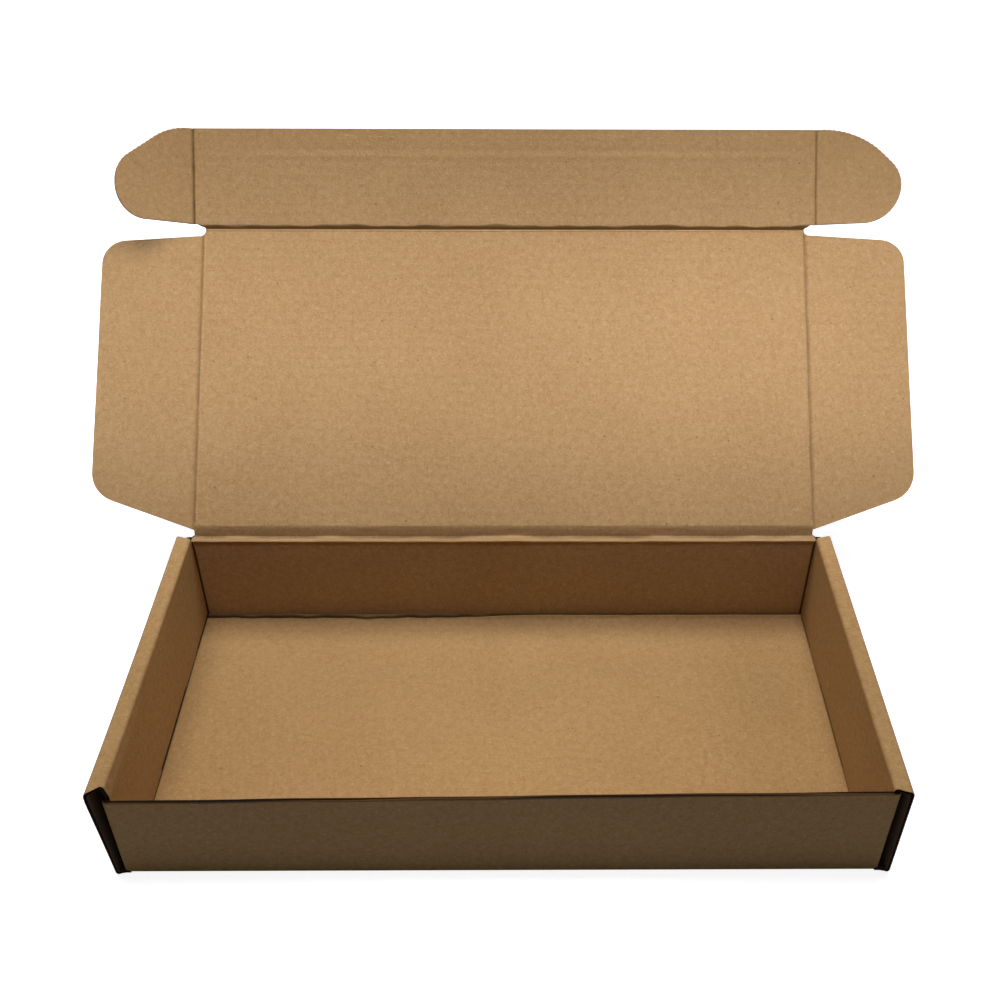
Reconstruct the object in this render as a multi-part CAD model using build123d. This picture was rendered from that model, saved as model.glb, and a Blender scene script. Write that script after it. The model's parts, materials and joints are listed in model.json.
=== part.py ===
from build123d import *
import os
from math import atan2, cos, radians, sin, tan

# Roll-end mailer box, die-cut and folded from one sheet of corrugated board.
# Millimetres and degrees. The origin is the centre of the base underside, +Z is
# up, the front is towards -Y. The lid stands open.

# Board, and the room that the box encloses
board = 1.2
inside_width = 228.6
inside_depth = 114.3
inside_height = 38.1

# Clearances
layer_gap = 0.1
ear_gap = 0.2
ear_slack = 0.4
edge_gap = 0.25
fold_gap = 0.4
lid_gap = 0.3
flap_gap = 0.6
tuck_gap = 0.25
overrun = 4.0

# Tray
fold_radius = 0.25
front_recess = 1.2
front_drop = 3.5
corner_flap_length = 36.0
corner_flap_taper = 3.0
corner_flap_radius = 6.0
tab_width = 19.0
tab_spacing = 57.0
tab_corner = 0.5

# Lid hinge, a strip between two scores
lid_lean = 46.2
strip_width = 4.05
strip_lean = 18.0
crease_radius = 0.4
crease_depth = 0.2

# Lid flaps
notch_radius = 1.2
dust_flap_depth = 37.5
dust_flap_spread = 0.45
dust_flap_foot = 1.8
dust_flap_head = 2.7
dust_flap_rise = 13.5
dust_flap_fall = 2.4
dust_flap_top_radius = 9.0
dust_flap_foot_radius = 11.25

# Tuck panel and its locking ears
tuck_height = 37.1
tuck_bend = 10.0
ear_foot = 1.95
ear_reach = 31.1
left_ear_bend = 28.0
right_ear_bend = 10.0

# Ear outline: the place of its crown as a share of the reach, of its heel and tip as
# shares of the height, and each round as the share that it takes of an edge: the side
# between heel and tip, and the head from fold to crown
ear_crown_share = 0.51
ear_heel_share = 0.01
ear_tip_share = 0.54
ear_heel_round_share = 0.72
ear_tip_round_share = 0.26
ear_crown_round_share = 0.9

# The rolled side wall holds, from inside out: inner wall, corner flap, locking ear
# and outer wall.
inner_wall_x = inside_width / 2
corner_flap_x = inner_wall_x + board + layer_gap
ear_fold_x = corner_flap_x + board + ear_gap
outer_wall_x = ear_fold_x + board + ear_slack
half_width = outer_wall_x + board

# Heights and depths of the tray
depth = front_recess + board + inside_depth + board
side_front_y = -depth / 2
front_y = side_front_y + front_recess
rear_y = depth / 2
rim = board + inside_height
front_top = rim - front_drop
outer_radius = fold_radius + board
middle_radius = fold_radius + board / 2
base_half_width = half_width - outer_radius
base_front_y = front_y + outer_radius
base_rear_y = rear_y - outer_radius
wall_half_width = corner_flap_x + board - outer_radius
inner_front_y = front_y + board + edge_gap
inner_rear_y = rear_y - board - edge_gap

# One line carries the lid from its open place to its closed one: the centre of the
# turn that takes the upper score from where it stands now to where it lies when shut.
hinge_score_y = rear_y - board / 2
open_score = Vector(
    hinge_score_y + strip_width * sin(radians(strip_lean)),
    rim + strip_width * cos(radians(strip_lean)),
)
shut_score = Vector(hinge_score_y - strip_width, rim + lid_gap + board / 2)
lid_turn = 90 + lid_lean
turn_step = (shut_score - open_score) / (2 * tan(radians(lid_turn / 2)))
hinge_y = (open_score.X + shut_score.X) / 2 - turn_step.Y
hinge_z = (open_score.Y + shut_score.Y) / 2 + turn_step.X

# Lid measured from the hinge line: up the lid, and from the hinge to its inner face
lid_face = hinge_z - rim - lid_gap
score_up = hinge_y - shut_score.X
lid_length = hinge_y - front_y + tuck_gap
lid_half_width = inside_width / 2 - flap_gap - board
half_fold = fold_gap / 2

# Frames of the open lid and of the tuck panel: X across, Y away from the fold,
# Z out of the inner face
lid_frame = Plane(
    origin=(0, hinge_y, hinge_z),
    x_dir=(1, 0, 0),
    z_dir=(0, -cos(radians(lid_lean)), sin(radians(lid_lean))),
)
lid_inner_face = lid_frame.offset(lid_face)
tuck_lean = lid_lean - tuck_bend
tuck_frame = Plane(
    origin=lid_inner_face.from_local_coords((0, lid_length, 0)),
    x_dir=(1, 0, 0),
    z_dir=(0, -cos(radians(tuck_lean)), sin(radians(tuck_lean))),
)


def bent_board(points, plane, start, end):
    """Board whose middle line runs through points, with a rounded fold at each corner,
    carried along the normal of plane from start to end."""
    line = FilletPolyline(*points, radius=middle_radius)
    section = trace(line, line_width=board)
    return extrude(plane.offset(start) * section, amount=end - start, dir=plane.z_dir)


def flat_board(outline):
    """Panel with its inner face on the XY plane of its own frame."""
    return extrude(outline, amount=-board)


def walls():
    """Front wall, base and rear wall, folded from one run of board."""
    front_middle = front_y + board / 2
    rear_middle = rear_y - board / 2
    points = [
        (front_middle, front_top),
        (front_middle, board / 2),
        (rear_middle, board / 2),
        (rear_middle, rim),
    ]
    return bent_board(points, Plane.YZ, -wall_half_width, wall_half_width)


def base_wing(side):
    """Base between the walls' run of board and the fold of a side wall."""
    wing = Box(
        base_half_width - wall_half_width + board,
        base_rear_y - base_front_y,
        board,
        align=(Align.MAX, Align.MIN, Align.MIN),
    )
    wing = Pos(base_half_width, base_front_y, 0) * wing
    return wing if side > 0 else mirror(wing, about=Plane.YZ)


def side_roll():
    """Right side wall: up, over the rim and down again inside, with its ends trimmed
    to stand between the front wall and the rear wall."""
    outer_middle = half_width - board / 2
    inner_middle = inner_wall_x + board / 2
    points = [
        (base_half_width - board, board / 2),
        (outer_middle, board / 2),
        (outer_middle, rim - board / 2),
        (inner_middle, rim - board / 2),
        (inner_middle, board + edge_gap),
    ]
    roll = bent_board(points, Plane.XZ, -rear_y, -side_front_y)
    inner_edge = inner_wall_x - overrun
    roll_outer = inner_wall_x + board
    for end, inner_end in ((side_front_y, inner_front_y), (rear_y, inner_rear_y)):
        beyond = end + (overrun if end > 0 else -overrun)
        trim = make_face(
            Polyline(
                (inner_edge, inner_end),
                (roll_outer, inner_end),
                (outer_wall_x, end),
                (outer_wall_x, beyond),
                (inner_edge, beyond),
                close=True,
            )
        )
        roll -= Pos(0, 0, board + edge_gap / 2) * extrude(trim, amount=rim)
    return roll


def tab_places():
    """Middles of the locking tabs along a side wall."""
    middle = (inner_front_y + inner_rear_y) / 2
    return [middle - tab_spacing / 2, middle + tab_spacing / 2]


def locking_tab(y):
    """Tab of the inner wall that goes down into its slot in the base."""
    height = board + edge_gap + outer_radius
    tab = Rectangle(tab_width, height, align=(Align.CENTER, Align.MIN))
    tab = fillet(tab.vertices().group_by(Axis.Y)[0], tab_corner)
    place = Plane(origin=(inner_wall_x, y, edge_gap), x_dir=(0, 1, 0), z_dir=(1, 0, 0))
    return extrude(place * tab, amount=board, dir=(1, 0, 0))


def tab_slot(y):
    """Slot in the base around a locking tab."""
    slot = Box(
        board + 2 * edge_gap,
        tab_width + 2 * edge_gap,
        board + 2 * overrun,
        align=(Align.MIN, Align.CENTER, Align.CENTER),
    )
    return Pos(inner_wall_x - edge_gap, y, 0) * slot


def corner_flap(wall_middle_y, wall_top, inward):
    """Right-hand flap at the end of a wall, folded back inside the rolled side wall."""
    flap_middle = corner_flap_x + board / 2
    tip_y = wall_middle_y + inward * corner_flap_length
    points = [
        (wall_half_width - board, wall_middle_y),
        (flap_middle, wall_middle_y),
        (flap_middle, tip_y),
    ]
    foot = board + edge_gap
    flap = bent_board(points, Plane.XY, foot, wall_top)
    # The side view of the flap: its ends fall away and its far corners are round.
    root_y = wall_middle_y - inward * board
    bend_y = wall_middle_y + inward * outer_radius
    side_view = Polyline(
        (root_y, foot),
        (bend_y, foot),
        (tip_y, foot + corner_flap_taper),
        (tip_y, wall_top - corner_flap_taper),
        (bend_y, wall_top),
        (root_y, wall_top),
        close=True,
    )
    side_view = make_face(side_view)
    far_corners = [v for v in side_view.vertices() if abs(v.X - tip_y) < edge_gap]
    side_view = fillet(far_corners, corner_flap_radius)
    keep = extrude(Plane.YZ * side_view, amount=half_width)
    return flap & keep


def tray():
    """Tray of the box, one folded solid."""
    body = walls() + base_wing(1) + base_wing(-1)
    half = side_roll()
    spine_underside = rim - board - edge_gap
    half += corner_flap(front_y + board / 2, front_top, 1)
    half += corner_flap(rear_y - board / 2, spine_underside, -1)
    for y in tab_places():
        slot = tab_slot(y)
        body -= [slot, mirror(slot, about=Plane.YZ)]
        half += locking_tab(y)
    return body + half + mirror(half, about=Plane.YZ)


def crease(length):
    """Scored line, a shallow groove along X in the inner face."""
    groove = extrude(Plane.YZ * Circle(crease_radius), amount=length / 2, both=True)
    return Pos(0, 0, crease_radius - crease_depth) * groove


def lid_panel():
    """Lid between its side folds, from the bead on the hinge line to the tuck fold."""
    width = 2 * (lid_half_width - half_fold)
    outline = Rectangle(width, lid_length - half_fold, align=(Align.CENTER, Align.MIN))
    for x in (-lid_half_width, lid_half_width):
        outline -= Pos(x, lid_length) * Circle(notch_radius)
    panel = flat_board(outline)
    # The crease is a round bead on the hinge line, which rolls on the rear wall's edge.
    bead = extrude(Plane.YZ * Circle(lid_face), amount=width / 2, both=True)
    panel += Pos(0, 0, -lid_face) * bead
    panel -= Pos(0, score_up, 0) * crease(width)
    return panel


def dust_flap():
    """Right-hand lid flap, measured from the hinge line and the middle of the lid."""
    fold = lid_half_width + half_fold
    top_edge = lid_half_width + dust_flap_depth
    foot_edge = top_edge + dust_flap_spread
    head = lid_length - dust_flap_head
    outline = Polyline(
        (fold, dust_flap_foot),
        (foot_edge, dust_flap_foot + dust_flap_rise),
        (top_edge, head - dust_flap_fall),
        (fold, head),
        close=True,
    )
    outline = make_face(outline)
    corners = outline.vertices().sort_by(Axis.X)[-2:].sort_by(Axis.Y)
    outline = fillet(corners[0], dust_flap_foot_radius)
    top_corner = outline.vertices().sort_by_distance((top_edge, head - dust_flap_fall))[0]
    return flat_board(fillet(top_corner, dust_flap_top_radius))


def tuck_panel():
    """Tuck panel between its ears, measured from the tuck fold."""
    fold = lid_half_width - notch_radius
    side = ear_fold_x - half_fold
    outline = Polyline(
        (-fold, half_fold),
        (fold, half_fold),
        (side, ear_foot),
        (side, tuck_height),
        (-side, tuck_height),
        (-side, ear_foot),
        close=True,
    )
    return flat_board(make_face(outline))


def locking_ear():
    """Ear beyond its fold, with X out from the fold and Y away from the tuck fold."""
    height = tuck_height - ear_foot
    heel = (ear_reach, ear_foot + ear_heel_share * height)
    tip = (ear_reach, ear_foot + ear_tip_share * height)
    crown = (ear_crown_share * ear_reach, tuck_height)
    foot_corner = (half_fold, ear_foot)
    head_corner = (half_fold, tuck_height)
    outline = make_face(Polyline(foot_corner, heel, tip, crown, head_corner, close=True))
    # A round takes its radius times the tangent of half its turn from each edge.
    side = tip[1] - heel[1]
    slope = atan2(crown[1] - tip[1], tip[0] - crown[0])
    tip_turn = radians(90) - slope
    rounds = (
        (heel, ear_heel_round_share * side),
        (tip, ear_tip_round_share * side / tan(tip_turn / 2)),
        (crown, ear_crown_round_share * crown[0] / tan(slope / 2)),
    )
    for corner, radius in rounds:
        vertex = outline.vertices().sort_by_distance(corner)[0]
        outline = fillet(vertex, radius)
    return flat_board(outline)


def bent_ear(bend):
    """Right-hand ear on its fold, bent in from the tuck panel."""
    fold = Plane(
        origin=(ear_fold_x, 0, 0),
        x_dir=(cos(radians(bend)), 0, sin(radians(bend))),
        z_dir=(-sin(radians(bend)), 0, cos(radians(bend))),
    )
    return fold * locking_ear()


nodes = {
    "tray": tray(),
    "lid_panel": lid_inner_face * lid_panel(),
    "left_dust_flap": lid_inner_face * mirror(dust_flap(), about=Plane.YZ),
    "right_dust_flap": lid_inner_face * dust_flap(),
    "tuck_panel": tuck_frame * tuck_panel(),
    "left_locking_ear": tuck_frame * mirror(bent_ear(left_ear_bend), about=Plane.YZ),
    "right_locking_ear": tuck_frame * bent_ear(right_ear_bend),
}

os.makedirs("parts", exist_ok=True)
for name, shape in nodes.items():
    shape.label = name
    export_step(shape, f"parts/{name}.step")
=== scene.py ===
import json
import math
import bpy
import numpy as np
from mathutils import Matrix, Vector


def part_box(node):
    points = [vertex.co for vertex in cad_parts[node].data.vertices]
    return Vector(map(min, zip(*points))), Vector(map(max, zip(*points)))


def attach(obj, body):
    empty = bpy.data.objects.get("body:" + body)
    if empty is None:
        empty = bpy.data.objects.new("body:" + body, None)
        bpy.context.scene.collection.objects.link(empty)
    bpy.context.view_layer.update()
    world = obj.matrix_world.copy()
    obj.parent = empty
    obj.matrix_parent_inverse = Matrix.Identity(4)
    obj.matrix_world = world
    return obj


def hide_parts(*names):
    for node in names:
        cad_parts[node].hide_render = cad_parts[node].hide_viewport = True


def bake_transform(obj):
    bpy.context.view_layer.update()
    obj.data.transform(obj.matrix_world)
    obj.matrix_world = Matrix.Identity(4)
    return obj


# Mailer box of corrugated kraft board, folded from one die-cut sheet and standing open.
# Lengths are millimetres until a mesh is made. A place on the flat sheet is (across, along):
# across runs with the flutes, along counts from the middle of the base towards the lid.

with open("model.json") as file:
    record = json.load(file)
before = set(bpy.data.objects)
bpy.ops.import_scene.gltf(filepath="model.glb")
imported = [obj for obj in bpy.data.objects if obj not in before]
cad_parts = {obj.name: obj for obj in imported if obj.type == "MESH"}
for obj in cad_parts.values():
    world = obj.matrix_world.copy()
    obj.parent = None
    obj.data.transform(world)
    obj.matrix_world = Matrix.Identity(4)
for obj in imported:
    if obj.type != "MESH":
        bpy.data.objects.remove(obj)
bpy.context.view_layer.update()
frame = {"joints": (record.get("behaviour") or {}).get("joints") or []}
mm = 0.001
joints = {joint["name"]: joint for joint in frame["joints"]}
trayLow, trayHigh = (np.array(corner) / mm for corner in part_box("tray"))
halfWidth, rearY, rim = trayHigh
sideFrontY = trayLow[1]


def foldPoint(name):
    return np.array(joints[name]["pos_m"]) / mm


def foldAxis(name):
    return np.array(joints[name]["axis"])


sheet = {
    "thick": 1.2,          # board, face to face
    "bend": 0.85,          # radius of the board's middle at a fold
    "linerShare": 0.12,    # of the thickness, each liner
    "openFlute": 0.5,      # how deep a cut edge shows between its liners
    "flutePitch": 3.43,
    "cell": 2.6,           # mesh spacing on flat board
}
half = sheet["thick"] / 2
fluteTurn = 2 * math.pi / mm / sheet["flutePitch"]     # angle of the flutes' wave per metre of sheet
acrossX = np.array([1.0, 0.0, 0.0])


# Surfaces

def unit(vectors):
    return vectors / np.linalg.norm(vectors, axis=-1, keepdims=True)


def points(x, y, z):
    return np.stack(np.broadcast_arrays(x, y, z), axis=-1).astype(float)


# places on the flat sheet, one for each point of a grid
def flatPlace(across, along):
    return np.stack(np.broadcast_arrays(across, along), axis=-1)


def addObject(name, data):
    made = bpy.data.objects.new(name, data)
    bpy.context.scene.collection.objects.link(made)
    return made


def spread(start, end, step):
    return np.linspace(start, end, max(2, math.ceil(abs(end - start) / step) + 1))


# a wavering line: the mean of sines of the given lengths, each with its own seeded phase
def waver(t, seed, lengths):
    phases = np.random.default_rng(seed).uniform(0, 2 * np.pi, len(lengths))
    return sum(np.sin(2 * np.pi * t / length + phase) for length, phase in zip(lengths, phases)) / len(lengths)


# an uneven sheet: the mean of plane waves, each with a seeded heading, length and phase
def uneven(x, y, seed, longest, count=7):
    rng = np.random.default_rng(seed)
    height = 0.0
    for heading, length, phase in zip(
        rng.uniform(0, np.pi, count), longest * rng.uniform(0.35, 1, count), rng.uniform(0, 2 * np.pi, count)
    ):
        height = height + np.sin(2 * np.pi * (x * np.cos(heading) + y * np.sin(heading)) / length + phase)
    return height / count


# a bump of height 1 at middle: exp(-((t - middle) / width)^2)
def bump(t, middle, width):
    return np.exp(-(((t - middle) / width) ** 2))


# a step from 0 to 1 between start and end: 3t^2 - 2t^3
def ease(t, start, end):
    share = np.clip((t - start) / (end - start), 0, 1)
    return share * share * (3 - 2 * share)


# length along a line of points
def runLength(line):
    return np.concatenate([[0], np.cumsum(np.linalg.norm(np.diff(line, axis=0), axis=1))])


def resample(line, count):
    length = runLength(line)
    even = np.linspace(0, length[-1], count)
    return np.stack([np.interp(even, length, line[:, k]) for k in range(line.shape[1])], axis=1)


def straight(start, end, step):
    return start + (end - start) * spread(0, 1, step / max(np.linalg.norm(end - start), step))[:, None]


# a line of straight runs with rounded corners: an arc starts radius * tan(turn / 2) before its corner
# and turns about a centre one radius to the side
def roundedLine(corners, radii, runStep, arcStep):
    corners = np.array(corners, float)
    pieces, cursor = [], corners[0]
    for before, corner, after, radius in zip(corners, corners[1:], corners[2:], radii):
        arriving, leaving = unit(corner - before), unit(after - corner)
        turn = math.atan2(arriving[0] * leaving[1] - arriving[1] * leaving[0], arriving @ leaving)
        start = corner - arriving * radius * abs(math.tan(turn / 2))
        side = np.array([-arriving[1], arriving[0]]) * math.copysign(radius, turn)
        angle = np.linspace(0, turn, max(3, math.ceil(abs(turn) * radius / arcStep)) + 1)[:, None]
        pieces.append(straight(cursor, start, runStep))
        arc = start + side - np.cos(angle) * side - np.sin(angle) * np.array([-side[1], side[0]])
        pieces.append(arc)
        cursor = arc[-1]
    line = np.vstack(pieces + [straight(cursor, corners[-1], runStep)])
    apart = np.linalg.norm(np.diff(line, axis=0), axis=1) > 1e-6
    return line[np.concatenate([[True], apart])]


# the direction one side of a line of points, to the left of its travel
def leftOf(line):
    travel = unit(np.gradient(line, axis=0))
    return np.stack([-travel[:, 1], travel[:, 0]], axis=1)


# A board: two grids of points, the inner and outer faces, closed round the border. An open side is a cut
# edge, where the core stands back between the two liners: lip, core, core, lip carried round the border.
# The two arguments after openSides paint shade and highlight into the inner and outer liners along a fold,
# through the "fold" attribute: 0.5 a middle painted shade, 1 a deep painted shade, -0.5 a painted highlight.
def boardMesh(name, inner, outer, place, openSides, paintedShading=0.0, paintedShadingBack=0.0, groove=None):
    rows, columns = inner.shape[:2]
    cells = np.arange(rows * columns).reshape(rows, columns)
    border = np.concatenate([cells[:-1, 0], cells[-1, :-1], cells[:0:-1, -1], cells[0, :0:-1]])
    middle = (inner + outer) / 2
    outward = np.zeros_like(middle)
    if "start" in openSides:
        outward[0] += unit(middle[0] - middle[1])
    if "end" in openSides:
        outward[-1] += unit(middle[-1] - middle[-2])
    if "low" in openSides:
        outward[:, 0] += unit(middle[:, 0] - middle[:, 1])
    if "high" in openSides:
        outward[:, -1] += unit(middle[:, -1] - middle[:, -2])
    face, back = inner.reshape(-1, 3), outer.reshape(-1, 3)
    near, far = face[border], back[border]
    push = outward.reshape(-1, 3)[border]
    lip = sheet["linerShare"] * (far - near)
    sunk = (sheet["openFlute"] if groove is None else groove) * push
    rings = [near + lip, near + lip - sunk, far - lip - sunk, far - lip]
    count, loop = rows * columns, len(border)
    ringStart = 2 * count + loop * np.arange(4)[:, None] + np.arange(loop)
    nextAt = np.roll(np.arange(loop), -1)
    quad = np.stack([cells[:-1, :-1], cells[1:, :-1], cells[1:, 1:], cells[:-1, 1:]], -1).reshape(-1, 4)
    faces = [quad.tolist(), (quad[:, ::-1] + count).tolist()]
    kinds = [0] * (2 * len(quad))
    cut = np.any(push != 0, axis=1)
    openPart = cut & cut[nextAt] & (np.sum(push * push[nextAt], axis=1) > 0.1)
    strips = [border, ringStart[0], ringStart[1], ringStart[2], ringStart[3], border + count]
    for level in range(5):
        one, two = strips[level], strips[level + 1]
        band = np.stack([one[nextAt], one, two, two[nextAt]], -1)
        shown = np.ones(loop, bool) if level in (0, 4) else openPart
        faces.append(band[shown].tolist())
        kinds += [0 if level in (0, 4) else 1] * int(shown.sum())
    # a closed side is one flat strip, which takes in the end of a groove that meets it
    ends = []
    for k in np.flatnonzero(~openPart):
        n = nextAt[k]
        one = [ringStart[0][n], ringStart[0][k]] + ([ringStart[1][k], ringStart[2][k]] if cut[k] else [])
        two = [ringStart[3][k], ringStart[3][n]] + ([ringStart[2][n], ringStart[1][n]] if cut[n] else [])
        ends.append([int(i) for i in one + two])
    faces.append(ends)
    kinds += [1] * len(ends)
    flat = [f for group in faces for f in group]
    vertices = np.vstack([face, back] + rings)
    onSheet = np.vstack([place.reshape(-1, 2)] * 2 + [place.reshape(-1, 2)[border]] * 4)
    onSheet[count:2 * count] += (611.0, 277.0)      # the outer liner is another stretch of paper
    onEdge = np.zeros((len(vertices), 2))
    onEdge[2 * count:, 0] = np.tile(place.reshape(-1, 2)[border, 1], 4)
    onEdge[2 * count:, 1] = np.repeat([-1, -0.7, 0.7, 1], loop)
    shades = [np.broadcast_to(shade, (rows, columns)).reshape(-1) for shade in (paintedShading, paintedShadingBack)]
    onFold = np.concatenate(shades + [shades[0][border]] * 2 + [shades[1][border]] * 2)
    corners = np.concatenate([np.array(f) for f in flat])
    used, corners = np.unique(corners, return_inverse=True)
    ends = np.cumsum([len(f) for f in flat])
    flat = [c.tolist() for c in np.split(corners, ends[:-1])]
    facing = np.cross(inner[rows // 2, columns // 2] - inner[rows // 2 - 1, columns // 2],
                      inner[rows // 2, columns // 2] - inner[rows // 2, columns // 2 - 1])
    if facing @ (inner - outer)[rows // 2, columns // 2] < 0:
        flat = [f[::-1] for f in flat]
    mesh = bpy.data.meshes.new(name)
    mesh.from_pydata((vertices[used] * mm).tolist(), [], flat)
    mesh.polygons.foreach_set("material_index", kinds)
    mesh.polygons.foreach_set("use_smooth", np.ones(len(flat), bool))
    atVertex = np.zeros(len(mesh.loops), np.int32)
    mesh.loops.foreach_get("vertex_index", atVertex)
    for label, values in (("sheet", onSheet), ("edge", onEdge)):
        layer = mesh.uv_layers.new(name=label)
        layer.uv.foreach_set("vector", (values[used][atVertex] * mm).astype(np.float32).ravel())
    # painted shade and painted highlight, carried to the material in the "fold" attribute
    fold = mesh.attributes.new("fold", "FLOAT", "POINT")
    fold.data.foreach_set("value", onFold[used].astype(np.float32))
    mesh.set_sharp_from_angle(angle=math.radians(38))
    mesh.update()
    mesh.validate()
    piece = addObject(name, mesh)
    for material in (kraftLiner, flutedEdge):
        mesh.materials.append(material)
    print("board made:", name, len(mesh.vertices), "points")
    return piece


# Materials

def linear(code):
    levels = np.array([int(code[k:k + 2], 16) / 255 for k in (1, 3, 5)])
    made = np.where(levels <= 0.04045, levels / 12.92, ((levels + 0.055) / 1.055) ** 2.4)
    return (*made.tolist(), 1.0)


# adds one node with its settings; links gives socket name or number to the node and socket it comes from
def addNode(material, kind, settings=None, values=None, links=None):
    node = material.node_tree.nodes.new(kind)
    for key, value in (settings or {}).items():
        setattr(node, key, value)
    for key, value in (values or {}).items():
        node.inputs[key].default_value = value
    for key, (source, socket) in (links or {}).items():
        material.node_tree.links.new(source.outputs[socket], node.inputs[key])
    return node


def calc(material, operation, values=None, links=None):
    return addNode(material, "ShaderNodeMath", {"operation": operation}, values, links)


def newMaterial(name):
    material = bpy.data.materials.new(name)
    material.use_nodes = True
    material.node_tree.nodes.clear()
    return material


# Kraft linerboard, machine-made on a wire, unbleached and uncoated: a matt tan sheet, mottled where its
# fibres clump, with paler single fibres, a few dark shives and the washboard of the flutes behind it.
kraft = {
    "colour": "#a8824e",
    "pale": "#b5905a",
    "deep": "#997240",
    "fibre": "#c5a570",
    "speck": "#624322",
    "paintedHighlight": "#c09c67",   # painted highlight along a ridge
    "paintedShadeMid": "#674a20",  # painted shade, middle tone, along a score, a crease or in a recess
    "paintedShading": "#1c0e03",  # painted shade, deep, in a fold or a recess
    "toneShare": 0.5,      # of the plain colour over the clumps
    "clump": 2.6,          # mm, size of a clump of fibres
    "grain": 0.9,          # mm, drawn coarser than the fibres' own 0.03 mm so that it shows
    "grainShare": 0.62,
    "grainDeep": 0.05,     # mm
    "cloud": 38.0,
    "cloudShare": 0.22,
    "fibreLong": 2.4,
    "fibreWide": 0.32,     # drawn ten times as wide as a fibre so that it shows
    "fibreHeadings": ((12, 0.36), (74, 0.3), (-48, 0.3)),     # degrees, and how far each shows
    "speckApart": 15.0,
    "speckSize": 0.3,
    "washboard": 0.02,     # mm, depth of the lines between the flutes
    "ridgePower": 1.7,     # over 1, the ridges are narrower than the hollows
    "roughness": 0.88,
}


def makeKraftLiner():
    material = newMaterial("unbleachedKraftLiner")
    place = addNode(material, "ShaderNodeUVMap", {"uv_map": "sheet"})

    def scaled(size, stretch=(1, 1), turn=0.0):
        return addNode(material, "ShaderNodeMapping", {"vector_type": "TEXTURE"}, {
            "Rotation": (0, 0, math.radians(turn)),
            "Scale": (size * stretch[0] * mm, size * stretch[1] * mm, 1),
        }, {"Vector": (place, "UV")})

    def noise(size, detail, stretch=(1, 1), turn=0.0):
        return addNode(material, "ShaderNodeTexNoise", {"noise_dimensions": "2D"},
                       {"Scale": 1.0, "Detail": detail, "Roughness": 0.62},
                       {"Vector": (scaled(size, stretch, turn), "Vector")})

    def between(source, low, high, fromLow=0.0, fromHigh=1.0):
        return addNode(material, "ShaderNodeMapRange", {"clamp": True},
                       {"From Min": low, "From Max": high, "To Min": fromLow, "To Max": fromHigh},
                       {"Value": source})

    def tint(under, over, share):
        return addNode(material, "ShaderNodeMix", {"data_type": "RGBA"}, {7: linear(over)},
                       {6: under, 0: share})

    cloud = between((noise(kraft["cloud"], 2.0), "Fac"), 0.3, 0.7)
    clump = between((noise(kraft["clump"], 3.0), "Fac"), 0.32, 0.68)
    grain = between((noise(kraft["grain"], 2.0), "Fac"), 0.3, 0.7)
    base = addNode(material, "ShaderNodeMix", {"data_type": "RGBA"},
                   {6: linear(kraft["deep"]), 7: linear(kraft["pale"])}, {0: (clump, "Result")})
    toned = addNode(material, "ShaderNodeMix", {"data_type": "RGBA"},
                    {0: kraft["toneShare"], 7: linear(kraft["colour"])}, {6: (base, 2)})
    warm = calc(material, "MULTIPLY", {1: kraft["grainShare"]}, {0: (grain, "Result")})
    grained = tint((toned, 2), kraft["pale"], (warm, "Value"))
    clouded = calc(material, "MULTIPLY", {1: kraft["cloudShare"]}, {0: (cloud, "Result")})
    toned = tint((grained, 2), kraft["deep"], (clouded, "Value"))
    for turn, share in kraft["fibreHeadings"]:
        line = noise(1.0, 0.0, (kraft["fibreLong"], kraft["fibreWide"]), turn)
        shown = between((line, "Fac"), 0.66, 0.78, 0.0, share)
        toned = tint((toned, 2), kraft["fibre"], (shown, "Result"))
    spots = addNode(material, "ShaderNodeTexVoronoi", {"voronoi_dimensions": "2D", "feature": "F1"},
                    {"Scale": 1.0}, {"Vector": (scaled(kraft["speckApart"]), "Vector")})
    reach = kraft["speckSize"] / kraft["speckApart"]
    near = between((spots, "Distance"), reach * 0.5, reach * 1.4, 0.75, 0.0)
    chosen = between((spots, "Color"), 0.55, 0.75)
    shown = calc(material, "MULTIPLY", links={0: (near, "Result"), 1: (chosen, "Result")})
    toned = tint((toned, 2), kraft["speck"], (shown, "Value"))
    # painted highlight and painted shade, mixed in by the mesh's "fold" attribute
    inFold = addNode(material, "ShaderNodeAttribute", {"attribute_name": "fold"})
    for colour, low, high in (("paintedHighlight", 0.0, -0.5), ("paintedShadeMid", 0.0, 0.5), ("paintedShading", 0.5, 1.0)):
        shown = between((inFold, "Fac"), low, high)
        toned = tint((toned, 2), kraft[colour], (shown, "Result"))
    # washboard: sin(2 pi along / pitch), raised to a power
    apart = addNode(material, "ShaderNodeSeparateXYZ", links={"Vector": (place, "UV")})
    turns = calc(material, "MULTIPLY", {1: fluteTurn}, {0: (apart, "Y")})
    wave = calc(material, "SINE", links={0: (turns, "Value")})
    ridge = between((wave, "Value"), -1.0, 1.0)
    narrow = calc(material, "POWER", {1: kraft["ridgePower"]}, {0: (ridge, "Result")})
    washed = addNode(material, "ShaderNodeBump", links={"Height": (narrow, "Value")},
                     values={"Strength": 1.0, "Distance": kraft["washboard"] * mm})
    rough = addNode(material, "ShaderNodeBump", values={"Strength": 0.5, "Distance": kraft["grainDeep"] * mm},
                    links={"Height": (grain, "Result"), "Normal": (washed, "Normal")})
    shader = addNode(material, "ShaderNodeBsdfPrincipled",
                     values={"Roughness": kraft["roughness"], "Specular IOR Level": 0.25},
                     links={"Base Color": (toned, 2), "Normal": (rough, "Normal")})
    addNode(material, "ShaderNodeOutputMaterial", links={"Surface": (shader, "BSDF")})
    return material


# Cut edge of corrugated board: between the liners the fluting medium waves from one to the other, and the
# open flutes beside it are painted nearly black, as painted shade inside them.
cutEdge = {"hollowShade": "#1a0f07", "medium": "#563a20", "mediumShare": 0.3}


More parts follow.
